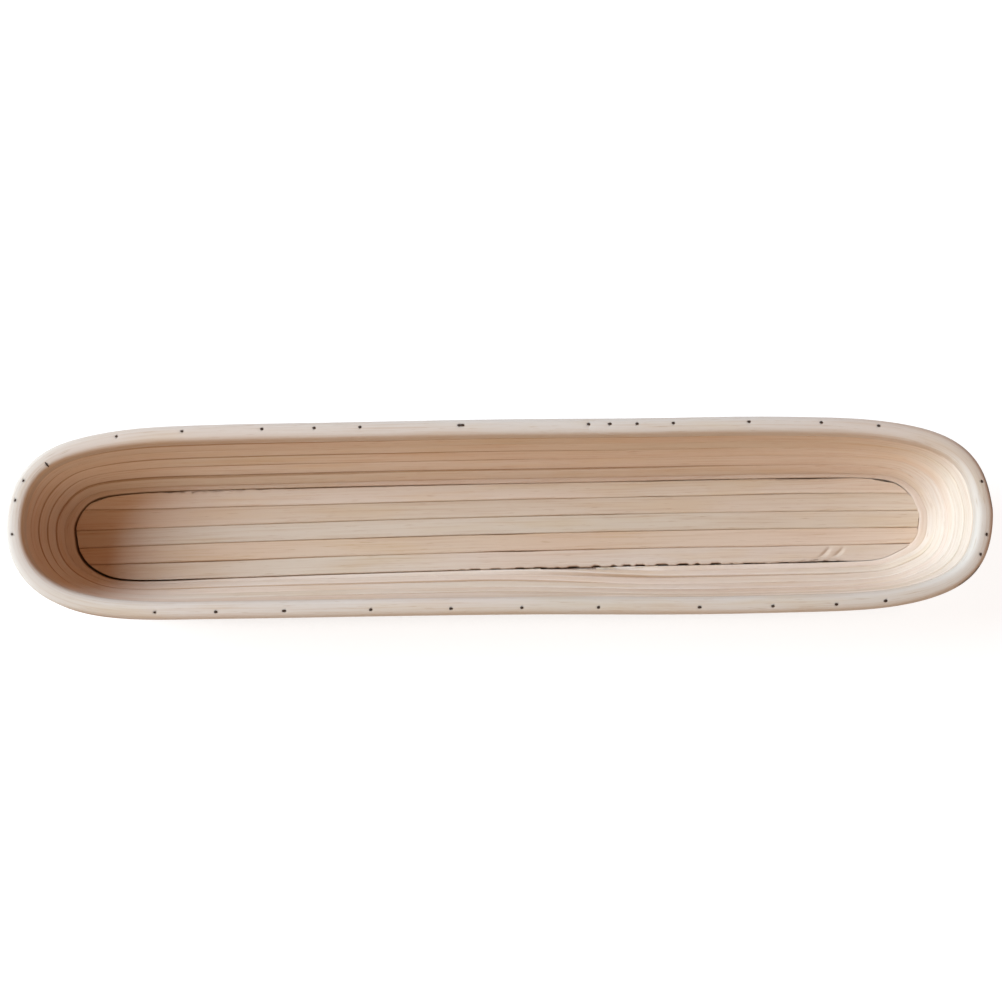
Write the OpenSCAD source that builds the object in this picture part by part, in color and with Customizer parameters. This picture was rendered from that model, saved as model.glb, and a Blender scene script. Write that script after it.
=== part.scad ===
// Long oval proofing basket, hand wound from rattan cane and nailed, in millimetres.
// Straight canes make the floor, one long cane coils up as the wall, and a hoop closes the rim.
// The origin is on the table under the middle of the basket, with X along its length.

/* [Floor] */
// Length of the floor, tip to tip
floor_length = 383; // [300:1:480]
// Length of each rounded end of the floor
end_length = 59; // [40:1:80]
// Shape of the rounded ends, where 2 is an ellipse and more is squarer
end_squareness = 3.05; // [2:0.05:4]
// Turn of the floor against the rim, as hand winding leaves it
floor_turn = 0.65; // [0:0.05:1]

/* [Cane] */
// Width and height of the cane
cane_size = 7.3; // [6:0.05:9]
// Rounding of the cane's four corners
cane_round = 2.3; // [1.5:0.1:2.8]
// Room between neighbouring canes
cane_gap = 0.65; // [0.5:0.05:1]
// More room over the first turn, which lies flat while the second leans
foot_room = 0.15; // [0.1:0.05:0.5]

/* [Wall] */
// Lean of the second turn on the first, from upright
first_lean = 14; // [5:1:20]
// Lean of the third turn on the second, where the wall flares most
foot_lean = 29; // [15:1:32]
// Lean of the rim on the last turn
rim_lean = 7; // [2:1:15]
// How late the lean eases off on the way up
lean_ease = 1.3; // [0.8:0.1:2]
// Length over which each turn climbs on to the one below
ramp_length = 96; // [70:1:110]
// Middle of that climb along the near side
ramp_middle = 30; // [-30:1:35]

/* [Rim] */
// Length of the slanting joint that closes the rim hoop
scarf_length = 46; // [36:1:60]
// Middle of that joint along the far side
scarf_middle = 56; // [-60:1:60]
// Thickness of the cane where it is whittled thin
cane_tip = 1; // [0.8:0.1:1.5]

/* [Nails] */
// Diameter of a nail's shank
nail_d = 1.3; // [1:0.1:1.6]
// Diameter of its head
nail_head_d = 1.9; // [1.7:0.1:2.4]
// Thickness of its head
nail_head_h = 0.5; // [0.3:0.1:0.8]
// Length of a nail
nail_length = 13; // [11:0.5:14]
// Length of its point
nail_point = 2; // [1:0.5:3]
// Distance between the nails of one turn
nail_spacing = 35; // [30:1:60]
// Lean of the rim nails from upright
rim_nail_lean = 15; // [5:1:18]
// Place of the rim nails outside the middle of the cane
rim_nail_out = 1.2; // [0.5:0.1:1.5]
// Height of the rim nails' heads above the cane
rim_nail_proud = 0.15; // [0:0.05:0.3]

/* [Hidden] */
$fn = 32;
rattan_floor = "#c8b49e";
rattan_wall = "#bda388";
rattan_rim = "#cec0b2";
nail_dark = "#3a2c22";
floor_count = 5;
// Turns of the wall, with the first one that runs round the floor
wall_turns = 6;
pitch = cane_size + cane_gap;
floor_width = floor_count * pitch - cane_gap;
// Half length of the straight stretch of each side
straight = floor_length / 2 - end_length;
// Corners of the cane's section in the wound canes, steps of a quarter of an end and steps of a climb
cane_sides = 12;
end_steps = 8;
climb_steps = 9;
// Roundness of the wound cane's section, between a circle at 1 and a square at 0
section_power = 0.88;
// Share of its width that a whittled end loses where it would be nothing thick
tip_narrowing = 0.45;
// Places of the rim nails: shares of the straight sides, and angles from the tips of the ends
rim_nails_far = [-0.79, -0.62, -0.47, -0.14, 0.28, 0.35, 0.44, 0.56, 0.81];
rim_nails_near = [-0.94, -0.72, -0.44, -0.18, 0.05, 0.3, 0.63, 0.87];
rim_nails_right = [88, 69, 11, -9, -17, -69, -86];
rim_nails_left = [88, 66, 28, 16, 8, -4, -81];
// Places of the hidden nails: shares of their spacing along the sides, and angles at the ends
odd_turn_share = 0.83;
odd_turn_angles = [-52, -28, 40];
even_turn_share = 0.33;
even_turn_angles = [-40, 0, 24, 56];
foot_angles = [-16, 0, 16];

// A sine or cosine drawn towards a squarer outline, with its sign kept
function squared(value, power) = sign(value) * pow(abs(value), power);
function ease(t) = t * t * (3 - 2 * t);
function sum(list) = len(list) == 0 ? 0 : list * [for (item = list) 1];
function turned(p, angle) = [
  p.x * cos(angle) - p.y * sin(angle),
  p.x * sin(angle) + p.y * cos(angle)
];

// Steps from one level of cane to the next: level 0 runs round the floor, the rim is the top one
function lean(step) = step == 0
  ? first_lean
  : foot_lean + (rim_lean - foot_lean) * pow((step - 1) / (wall_turns - 2), lean_ease);
function step_size(step) = step == 0 ? pitch + foot_room : pitch;
function level_out(level) =
  cane_gap + cane_size / 2 + sum([for (i = [0 : 1 : level - 1]) step_size(i) * sin(lean(i))]);
function level_up(level) = cane_size / 2 + sum([for (i = [0 : 1 : level - 1]) step_size(i) * cos(lean(i))]);
function level_tilt(level) = level == 0
  ? 0
  : (lean(level - 1) + lean(min(level, wall_turns - 1))) / 2;
function level_turn(level) = floor_turn * (1 - level / wall_turns);
// Middle of the cane's section at a level: distance out from the floor, height, tilt and turn in plan
levels = [for (i = [0 : wall_turns]) [level_out(i), level_up(i), level_tilt(i), level_turn(i)]];
function between_levels(level) =
  let (low = min(floor(level), wall_turns - 1), share = level - low)
  levels[low] * (1 - share) + levels[low + 1] * share;

// Places on the floor's outline, each as [x, y, outward x, outward y, climb]
function side_place(x, side, climb = 1) = [x, side * floor_width / 2, 0, side, climb];
// An end is 1 on the right and -1 on the left, with its angle from the tip towards the far side
function end_place(end, angle) =
  let (
    power = 2 / end_squareness,
    along = pow(cos(angle), power),
    across = squared(sin(angle), power),
    out_x = pow(cos(angle), 2 - power) / end_length,
    out_y = squared(sin(angle), 2 - power) / (floor_width / 2),
    size = norm([out_x, out_y])
  )
  [
    end * (straight + along * end_length),
    across * floor_width / 2,
    end * out_x / size,
    out_y / size,
    1
  ];
function end_places(end) = [
  for (i = [-end_steps : end_steps])
    end_place(end, end * 90 * i / end_steps)
];
function opposite(place) = [-place[0], -place[1], -place[2], -place[3], place[4]];

// One lap round the basket from a climb on the near side, first to the right
function lap(middle, length) =
  let (first = middle - length / 2, last = middle + length / 2)
  concat(
    [
      for (i = [0 : climb_steps])
        side_place(first + length * i / climb_steps, -1, ease(i / climb_steps))
    ],
    [side_place((last + straight) / 2, -1)],
    end_places(1),
    [side_place(straight / 3, 1), side_place(-straight / 3, 1)],
    end_places(-1),
    [side_place((first - straight) / 2, -1)]
  );

// Corners of the cane's section, one unit in half height, with flats on its four sides
flat = squared(cos(180 / cane_sides), section_power);
section = [
  for (i = [0 : cane_sides - 1])
    let (angle = (i + 0.5) * 360 / cane_sides)
      [squared(cos(angle), section_power), squared(sin(angle), section_power)] / flat
];

// Ring of corners round the cane at a place and level, whittled down to lie between two heights
function ring(place, level, low = -1, high = 1) =
  let (
    middle = between_levels(level),
    out_dir = [place[2], place[3]],
    width = cane_size * (1 - tip_narrowing * (1 - (high - low) / 2))
  )
  [
    for (corner = section)
      let (
        across = corner.x * width / 2,
        up = (low + (high - low) * (corner.y + 1) / 2) * cane_size / 2,
        out = middle[0] + across * cos(middle[2]) + up * sin(middle[2]),
        plan = turned([place[0], place[1]] + out_dir * out, middle[3])
      )
        [plan.x, plan.y, middle[1] - across * sin(middle[2]) + up * cos(middle[2])]
  ];

// The wall starts and ends thin in its climb, so that its foot and its top stay level
wall_lap = lap(ramp_middle, ramp_length);
wall_start = [
  for (place = wall_lap)
    let (thick = min(place[4] * pitch - cane_gap, cane_size))
      if (thick >= cane_tip) ring(place, 0, -1, 2 * thick / cane_size - 1)
];
wall_climb = [
  for (turn = [1 : wall_turns - 1])
    for (place = wall_lap)
      ring(place, turn - 1 + place[4])
];
wall_end = [
  for (i = [0 : climb_steps])
    let (place = wall_lap[i], thick = min(cane_size, (1 - place[4]) * pitch - cane_gap))
      if (thick >= cane_tip) ring(place, wall_turns - 1, 1 - 2 * thick / cane_size, 1)
];
wall_rings = concat(wall_start, wall_climb, wall_end);

// The rim's two ends are cut to a slant and lie one on the other
rim_lap = [for (place = lap(-scarf_middle, scarf_length)) opposite(place)];
rim_start = [
  for (place = rim_lap)
    let (thick = place[4] == 1 ? cane_size : place[4] * cane_size - cane_gap / 2)
      if (thick >= cane_tip) ring(place, wall_turns, -1, 2 * thick / cane_size - 1)
];
rim_end = [
  for (i = [0 : climb_steps])
    let (
      place = rim_lap[i],
      thick = i == 0 ? cane_size : (1 - place[4]) * cane_size - cane_gap / 2
    )
      if (thick >= cane_tip) ring(place, wall_turns, 1 - 2 * thick / cane_size, 1)
];
rim_rings = concat(rim_start, rim_end);

// Least distance from the corners of one ring to the sides of another
function to_side(p, a, b) =
  let (side = b - a, share = max(0, min(1, (p - a) * side / (side * side))))
  norm(p - a - side * share);
function ring_gap(one, other) = min([
  for (p = one)
    for (i = [0 : cane_sides - 1])
      to_side(p, other[i], other[(i + 1) % cane_sides])
]);
function coil_gap(rings, step) = min([
  for (i = [0 : len(rings) - step - 1])
    min(ring_gap(rings[i], rings[i + step]), ring_gap(rings[i + step], rings[i]))
]);

// One unbroken tube through a list of rings, closed by a flat face at each end
module tube(rings) {
  last = (len(rings) - 1) * cane_sides;
  sides = [
    for (i = [0 : len(rings) - 2])
      for (j = [0 : cane_sides - 1])
        let (
          a = i * cane_sides + j,
          b = i * cane_sides + (j + 1) % cane_sides,
          c = a + cane_sides,
          d = b + cane_sides
        )
          each [[a, b, d], [a, d, c]]
  ];
  ends = [
    for (j = [1 : cane_sides - 2])
      each [[0, j + 1, j], [last, last + j, last + j + 1]]
  ];
  polyhedron(points = [for (corners = rings) each corners], faces = concat(sides, ends));
}

// A nail that hangs down from the top of its head
module nail() {
  rotate_extrude()
    polygon([
      [0, 0],
      [nail_head_d / 2, 0],
      [nail_head_d / 2, -nail_head_h],
      [nail_d / 2, -nail_head_h],
      [nail_d / 2, nail_point - nail_length],
      [0, -nail_length]
    ]);
}

// Sets what follows at a place: out from the floor's outline, up, leaning outwards by an angle
module at_place(place, out, up, angle, turn) {
  rotate([0, 0, turn])
    translate([place[0] + place[2] * out, place[1] + place[3] * out, up])
      rotate([0, angle, atan2(place[3], place[2])])
        children();
}

module cane_profile() {
  square([cane_size, cane_size - 2 * cane_round], center = true);
  square([cane_size - 2 * cane_round, cane_size], center = true);
  for (x = [-1, 1], y = [-1, 1])
    translate([x, y] * (cane_size / 2 - cane_round))
      circle(cane_round);
}

module floor_outline() {
  polygon([for (end = [1, -1], place = end_places(end)) [place[0], place[1]]]);
}

module floor_cane(index) {
  color(rattan_floor)
    difference() {
      rotate([0, 0, floor_turn])
        intersection() {
          translate([-floor_length / 2, (floor_count / 2 + 0.5 - index) * pitch, cane_size / 2])
            rotate([90, 0, 90])
              linear_extrude(floor_length)
                cane_profile();
          linear_extrude(cane_size)
            floor_outline();
        }
      pin_places()
        cylinder(h = pin_length, d = nail_d, center = true);
      at_foot_places()
        nail();
    }
}

// Nail places along a straight side, counted from its middle
function row(share, spacing) =
  let (reach = ceil(straight / spacing))
  [
    for (i = [-reach : reach])
      let (x = (i + share) * spacing)
        if (abs(x) < straight - nail_head_d) x
  ];

// Pins lie across the floor, shorter than it is wide
pin_length = floor_width - cane_size;
module pin_places() {
  rotate([0, 0, floor_turn])
    for (x = row(0, 2 * nail_spacing))
      translate([x, 0, cane_size / 2])
        rotate([90, 0, 0])
          children();
}

module floor_pins() {
  color(nail_dark)
    pin_places()
      cylinder(h = pin_length, d = nail_d, center = true);
}

// Nails driven in level through the first turn, between the pins and into the ends of the floor
foot_places = concat(
  [for (side = [-1, 1], x = row(0.5, 2 * nail_spacing)) side_place(x, side)],
  [for (end = [-1, 1], angle = foot_angles) end_place(end, angle)]
);
module at_foot_places() {
  for (place = foot_places)
    at_place(place, cane_gap + cane_size, cane_size / 2, 90, floor_turn)
      children();
}

module foot_nails() {
  color(nail_dark)
    at_foot_places()
      nail();
}

module wall_coil() {
  echo(wall_coil_least_gap = coil_gap(wall_rings, len(wall_lap)));
  color(rattan_wall)
    tube(wall_rings);
}

// Every turn is nailed to the one below, clear of the climb, before the next turn covers it
function nail_places(level) =
  let (
    odd = level % 2 == 1,
    clear = ramp_length / 2 + nail_head_d
  )
  concat(
    [
      for (side = [-1, 1], x = row(odd ? odd_turn_share : even_turn_share, nail_spacing))
        if (side == 1 || abs(x - ramp_middle) > clear) side_place(x, side)
    ],
    [
      for (end = [-1, 1], angle = odd ? odd_turn_angles : even_turn_angles)
        end_place(end, angle)
    ]
  );

module wall_nails(level) {
  middle = levels[level];
  out = middle[0] + cane_size / 2 * sin(middle[2]);
  up = middle[1] + cane_size / 2 * cos(middle[2]);
  color(nail_dark)
    for (place = nail_places(level))
      at_place(place, out, up, middle[2], middle[3])
        nail();
}

module rim_hoop() {
  echo(rim_hoop_least_gap = coil_gap(rim_rings, len(rim_lap)));
  color(rattan_rim)
    tube(rim_rings);
}

module rim_nails() {
  places = concat(
    [for (share = rim_nails_far) side_place(share * straight, 1)],
    [for (share = rim_nails_near) side_place(share * straight, -1)],
    [for (angle = rim_nails_right) end_place(1, angle)],
    [for (angle = rim_nails_left) end_place(-1, angle)]
  );
  top = levels[wall_turns];
  color(nail_dark)
    for (place = places)
      at_place(place, top[0] + rim_nail_out, top[1] + cane_size / 2 + rim_nail_proud, rim_nail_lean, 0)
        nail();
}

floor_cane(1);  // floor_cane_1
floor_cane(2);  // floor_cane_2
floor_cane(3);  // floor_cane_3
floor_cane(4);  // floor_cane_4
floor_cane(5);  // floor_cane_5
floor_pins();
foot_nails();
wall_coil();
wall_nails(1);  // wall_nails_1
wall_nails(2);  // wall_nails_2
wall_nails(3);  // wall_nails_3
wall_nails(4);  // wall_nails_4
wall_nails(5);  // wall_nails_5
rim_hoop();
rim_nails();
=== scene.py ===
"""Long oval proofing basket: rattan canes laid, wound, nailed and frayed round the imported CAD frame."""

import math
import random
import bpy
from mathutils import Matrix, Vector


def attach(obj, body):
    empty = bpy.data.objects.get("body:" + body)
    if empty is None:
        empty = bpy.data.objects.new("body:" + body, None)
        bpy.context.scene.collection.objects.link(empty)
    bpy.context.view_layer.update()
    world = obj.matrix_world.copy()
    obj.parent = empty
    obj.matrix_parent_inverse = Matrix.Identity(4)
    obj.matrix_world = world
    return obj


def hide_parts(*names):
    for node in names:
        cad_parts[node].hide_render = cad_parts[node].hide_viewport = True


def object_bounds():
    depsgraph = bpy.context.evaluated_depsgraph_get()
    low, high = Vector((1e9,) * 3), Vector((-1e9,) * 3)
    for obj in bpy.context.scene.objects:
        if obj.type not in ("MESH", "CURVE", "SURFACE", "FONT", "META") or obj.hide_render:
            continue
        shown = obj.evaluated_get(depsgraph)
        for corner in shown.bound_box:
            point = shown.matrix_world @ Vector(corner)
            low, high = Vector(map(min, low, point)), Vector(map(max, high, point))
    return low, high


bl_info = {
    "name": "Rattan Proofing Basket",
    "version": (1, 0, 0),
    "blender": (4, 5, 0),
    "location": "View3D > Sidebar > Basket",
    "description": "Lays the floor, winds the wall, closes the rim, drives the nails and sets the stage",
    "category": "Object",
}

from bisect import bisect_right
from collections import namedtuple
from itertools import accumulate

import bmesh
import bpy
from bpy.props import FloatProperty, FloatVectorProperty, PointerProperty
from mathutils import Matrix, Vector, kdtree, noise

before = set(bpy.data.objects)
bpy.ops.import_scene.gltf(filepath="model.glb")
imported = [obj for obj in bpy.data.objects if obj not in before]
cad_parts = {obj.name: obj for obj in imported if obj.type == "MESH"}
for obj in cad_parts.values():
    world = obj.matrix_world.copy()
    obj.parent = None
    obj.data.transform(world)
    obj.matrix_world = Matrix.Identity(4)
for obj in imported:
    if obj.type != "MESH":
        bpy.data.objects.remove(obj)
CAD_LOW, CAD_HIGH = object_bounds()

MM = 0.001
FLOOR_COUNT = 5
WALL_TURNS = 6
# Samples of a rounded end and of a cane's section, before their places are spread evenly
END_SAMPLES, SECTION_SAMPLES = 160, 720
# Distance between the rows of a cane's mesh, and the corners of its section
FLOOR_ROW, FLOOR_SIDES = 0.6 * MM, 72
WALL_ROW, WALL_SIDES = 2.2 * MM, 28
RIM_ROW, RIM_SIDES = 0.9 * MM, 40
# Added to a section's arcs when its corners are spread, so that the round edges get more of them
EDGE_SHARE = 2.5 * MM
# Corners closer than this become one, where a cane's seam closes and where a nail is turned
SEAM_WELD, NAIL_WELD = 0.0001 * MM, 0.001 * MM
# Lengths along a cane over which its place and its thickness drift, as hand work leaves them
SLOW_DRIFT, QUICK_DRIFT = 90 * MM, 28 * MM
# Brings the drift up to about 1, and keeps the drifts of different seeds apart
DRIFT_GAIN, SEED_STEP = 1.6, 7.31
# Seeds of each wound cane, of each floor cane times its number, and of each turn of the wall times its level
WALL_SEED, RIM_SEED, FLOOR_SEED, LEVEL_SEED = 1, 5, 20, 0.17
# Seeds of the joints, the painted shade on the rim's edge and the nail heads
BRIDGE_SEED, SHUT_SEED, EDGE_SHADE_SEED, WIDER_SEED, HEAD_TIP_SEED = 4, 6, 12, 3, 9
# Most that a cane strays sideways and tips over
FLOOR_STRAY, WALL_STRAY, TIP = 0.09 * MM, 0.16 * MM, math.radians(1.2)
# How far a floor cane shrinks away from its neighbours, and the drift from which on it does
SHRINK, SHRINK_START = 0.7 * MM, 0.5
# Share of the gap between canes by which a wound cane is narrower, and by which the floor reaches into it
WOUND_GAP, FLOOR_REACH = 0.4, 0.7
# How much further dust and painted shade spread from the wall's joints than from the floor's, how much more
# of them lies towards the left end and less towards the right, which is painted shade, and how much more on
# the turns' tops
DUST_AND_SHADE, SHADE_LEFT, DUST_AND_SHADE_TOP = 1.02, 0.1, 0.03
# Dust and painted shade on the open top of the first turn, and how much less of them lies on its side towards
# the floor
FOOT_DUST_AND_SHADE, FOOT_PALER = 0.91, 0.08
# The floor canes bow towards the far side: depth of the bow over a reach to either side, middle and shift
BOW_DEPTH, BOW_REACH, BOW_MIDDLE, BOW_SHIFT = 1.35 * MM, 170 * MM, 12 * MM, 0.65 * MM
# The floor canes are cut from here on, along each side
TRIM_START = 100 * MM
# Share by which the joint at the floor's left end is wider on the near side and narrower on the far side
LEFT_SLANT = 0.7
# The floor touches the wall at its right end: from which share of its half width on the near side, over which
# length that begins, and how far it then reaches. Elsewhere it touches it in places: how often, how abruptly
SHUT_NEAR, SHUT_START, SHUT_REACH = 0.4, 4 * MM, 0.9 * MM
SHUT_OFTEN, SHUT_EDGE = 0.3, 1.5
# Places of the rim nails: shares of the straight sides, and angles from the tips of the ends
RIM_NAILS_FAR = (-0.79, -0.62, -0.47, -0.1455, -0.1345, 0.28, 0.35, 0.44, 0.56, 0.81)
RIM_NAILS_NEAR = (-0.94, -0.72, -0.44, -0.18, 0.05, 0.3, 0.63, 0.87)
RIM_NAILS_RIGHT = (88, 69, 11, -9, -17, -69, -86)
RIM_NAILS_LEFT = (88, 66, 16, 8, -4, -81)
# Place of the rim nails outside the middle of the cane, their lean, and how far a nail's head stands out
RIM_NAIL_OUT, RIM_NAIL_LEAN, NAIL_PROUD = 1.2 * MM, math.radians(15), 0.12 * MM
# One nail on the left was bent over and lies across the rim: its angle from the tip, its length and width in
# heads, and its place inside the middle of the cane
BENT_NAIL, BENT_LENGTH, BENT_WIDTH, BENT_IN = 28, 2.6, 0.45, 1.6 * MM
# How much of a head shows at the left end, where the nails are driven in deeper
LEFT_HEAD = 0.78
# Places of the hidden nails in even and odd turns, as a share of their spacing along the sides and as angles
# at the ends, and the share of the cane's half height at which their heads stand
NAIL_SPACING = 35 * MM
WALL_NAILS = ((0.33, (-40, 0, 24, 56)), (0.83, (-52, -28, 40)))
WALL_NAIL_TOP = 0.9
# The same for the nails through the foot
FOOT_NAIL_SPACING, FOOT_NAIL_SHARE = 2 * NAIL_SPACING, 0.5
FOOT_NAIL_ANGLES = (-16, 0, 16)
# No two heads are alike: how much wider than long each is, at least and beyond that, and how far it tips.
# Both drift over so many nails
HEAD_WIDER, HEAD_SPREAD, HEAD_TIP = 1.25, 0.4, math.radians(8)
WIDER_DRIFT, HEAD_TIP_DRIFT = 1.7, 1.3
# Reach and depth of the dent that a nail presses into the rim, in head diameters
PRESS_REACH, PRESS_DEPTH = 1.1, 0.2
# How dark the painted shade on the rim's outer edge is at the right end, from which share of its half width
# and which place on, in patches of which size, and how much of it they cover
EDGE_SHADE, EDGE_SHADE_FROM, EDGE_SHADE_START = 0.9, 0.55, 160 * MM
EDGE_SHADE_PATCH, EDGE_SHADE_COVER = QUICK_DRIFT / 3, 0.6
# How far the rim's upper end sinks under the skin of the lower one, and from which share of the scarf on
SINK, SINK_START = 0.05, 0.8
# Half outline of a nail from its head's middle to its point, in head radii
HEAD_OUTLINE = ((0, 0), (0.5, -0.03), (0.82, -0.14), (1, -0.32), (0.9, -0.5))
NAIL_OUTLINE = (*HEAD_OUTLINE, (0.7, -0.58), (0.68, -6), (0, -8))
NAIL_STEPS = 20

Station = namedtuple("Station", "middle across up ways wedge low high along")
Shape = namedtuple("Shape", "below above")
Bulge = namedtuple("Bulge", "angle spread out")
OpenJoint = namedtuple("OpenJoint", "side start end width")
Fraying = namedtuple("Fraying", "side middle spread count stray")
Grain = namedtuple("Grain", "length width detail start full tint relief")
SoilAndShade = namedtuple("SoilAndShade", "attribute start full tint")

# Where the handmade outlines of the floor and the rim stand out of their regular form or fall back: degrees
# round from the right end over the far side, spread to either side, and millimetres outwards
FLOOR_BULGES = (
    Bulge(20, 8, -1.0),
    Bulge(41, 7, 1.7),
    Bulge(75, 40, -0.9),
    Bulge(141, 9, 2.2),
    Bulge(163, 34, 1.0),
    Bulge(182, 16, -0.7),
    Bulge(204, 12, -1.0),
    Bulge(224, 6, 1.1),
    Bulge(315, 4, 1.0),
    Bulge(338, 32, -1.0),
)
RIM_BULGES = (
    Bulge(16, 13, -1.1),
    Bulge(48, 15, -1.5),
    Bulge(58, 10, 1.3),
    Bulge(92, 16, 0.4),
    Bulge(135, 10, -1.2),
    Bulge(153, 38, -0.8),
    Bulge(180, 16, 0.35),
    Bulge(297, 15, 1.0),
    Bulge(330, 10, 1.2),
    Bulge(338, 21, -0.9),
)
# The wall's left end bellies out between floor and rim: powers of the height with which it starts and ends
WALL_BELLY = Bulge(180, 30, 2.5)
BELLY_FOOT, BELLY_TOP = 0.5, 6
# Stretches where the first turn stands off the floor, so that the joint shows dark, or is pressed into it
OPEN_JOINTS = (
    OpenJoint(-1, -30 * MM, 30 * MM, 0.35 * MM),
    OpenJoint(-1, 12 * MM, 128 * MM, 0.65 * MM),
    OpenJoint(-1, 112 * MM, 160 * MM, 0.4 * MM),
    OpenJoint(1, -174 * MM, -98 * MM, 0.6 * MM),
    OpenJoint(1, -170 * MM, -92 * MM, -0.4 * MM),
    OpenJoint(-1, 154 * MM, 198 * MM, -0.6 * MM),
    OpenJoint(1, 117 * MM, 155 * MM, 0.45 * MM),
    OpenJoint(1, 154 * MM, 184 * MM, -0.6 * MM),
)
# Fibres bridge these joints: how much of them stays open, how abruptly that changes, and over which length
BRIDGE_OPEN, BRIDGE_EDGE, BRIDGE_LENGTH = 0.5, 2.5, 5 * MM
# Places along these joints where fibres have split off
FRAYINGS = (
    Fraying(-1, 152 * MM, 13 * MM, 14, 0.25),
    Fraying(-1, 64 * MM, 52 * MM, 26, 0.05),
    Fraying(1, -140 * MM, 28 * MM, 6, 0.1),
    Fraying(1, 146 * MM, 18 * MM, 5, 0.1),
)
# Ranges of a split fibre's length and radius in millimetres, of its rise, and of its foot's distance from the
# floor in gaps between canes
FIBRE_LENGTH, FIBRE_RADIUS = (2, 6.5), (0.12, 0.28)
FIBRE_RISE, FIBRE_FOOT = (0.02, 0.1), (0.9, 2.6)
FIBRE_SEED, FIBRE_STEPS, FIBRE_SIDES = 8, 5, 6
# How deep its foot is sunk, how much thinner each step is, and how far it curls back and down
FIBRE_SINK, FIBRE_TAPER, FIBRE_CURL, FIBRE_DROOP = 0.2 * MM, 0.78, 0.5, 0.05
# Dents in the near floor cane: their middles, slant, half length and half width, how abruptly they end, their
# depth, and the height of the lip beside them and its place in half widths
DENTS = ((147.5 * MM, -15.6 * MM), (153.8 * MM, -15.7 * MM))
DENT_SLANT, DENT_LENGTH, DENT_WIDTH, DENT_ENDS = math.radians(42), 3.3 * MM, 0.8 * MM, 4
DENT_DEPTH, DENT_LIP, LIP_PLACE = 0.6 * MM, 0.1 * MM, 2
# Layers of the rattan's tone, from wide patches to fine pores. Lengths and widths are in millimetres. Fibres
# and pores, about a quarter of a millimetre wide, are drawn two or three times as coarse to show
PINK_GROWTH = Grain(140, 34, 1, 0.40, 0.66, "#fffaf7", 0.0)
GREY_GROWTH = Grain(180, 30, 1, 0.42, 0.68, "#fafbf8", 0.0)
YELLOW_PATCH = Grain(46, 7, 2, 0.46, 0.74, "#fdf9f1", 0.0)
FIBRE_STREAK = Grain(42, 0.8, 3, 0.42, 0.80, "#f4ebe3", 0.014)
OPEN_PORE = Grain(9, 0.45, 2, 0.60, 0.80, "#e8dcd1", -0.025)
RATTAN_GRAIN = (PINK_GROWTH, GREY_GROWTH, YELLOW_PATCH, FIBRE_STREAK, OPEN_PORE)
# Keeps the patterns of these layers apart
GRAIN_SHIFT = 3.7
# Dust, old dough and painted shade darken the edges that meet another cane, rust stains the wood round the
# nails, and painted shade darkens the rim's outer edge at the right end
SOIL_AND_SHADE_TINTS = (SoilAndShade("groove", 0.87, 1.0, "#d4c2b1"), SoilAndShade("stain", 0.0, 1.0, "#433d3b"))
# Width of the camera's sensor in millimetres, and half the side of the table
SENSOR_WIDTH, TABLE_HALF = 36, 4.0
# The table's glow: its share in what the eye sees, and how far off something has to stand to dim it, which
# paints a shadow under and round the basket
GLOW_SHARE, GLOW_REACH = 0.68, 60 * MM


def linear(code):
    """Turns an sRGB hex colour into the linear colour that Blender works in."""
    shares = [int(code[i : i + 2], 16) / 255 for i in (1, 3, 5)]
    return [s / 12.92 if s <= 0.04045 else ((s + 0.055) / 1.055) ** 2.4 for s in shares]


def length_of(label, default, words):
    return FloatProperty(name=label, description=words, default=default, min=0.0, unit="LENGTH", precision=5)


def angle_of(label, degrees, words):
    return FloatProperty(name=label, description=words, default=math.radians(degrees), unit="ROTATION")


def numbers_of(label, values, words, unit):
    return FloatVectorProperty(name=label, description=words, default=values, size=len(values), unit=unit)


def lengths_of(label, steps, words):
    return numbers_of(label, [s * MM for s in steps], words, "LENGTH")


def angles_of(label, degrees, words):
    return numbers_of(label, [math.radians(d) for d in degrees], words, "ROTATION")


def squareness_of(label, default, words):
    return FloatProperty(name=label, description=f"{words}, where 2 is round", default=default, min=2.0)


def power_of(label, watts, words):
    return FloatProperty(name=label, description=words, default=watts, unit="POWER")


def colour_of(label, code, words):
    return FloatVectorProperty(
        name=label, description=words, default=linear(code), size=3, min=0.0, max=1.0, subtype="COLOR"
    )


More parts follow.
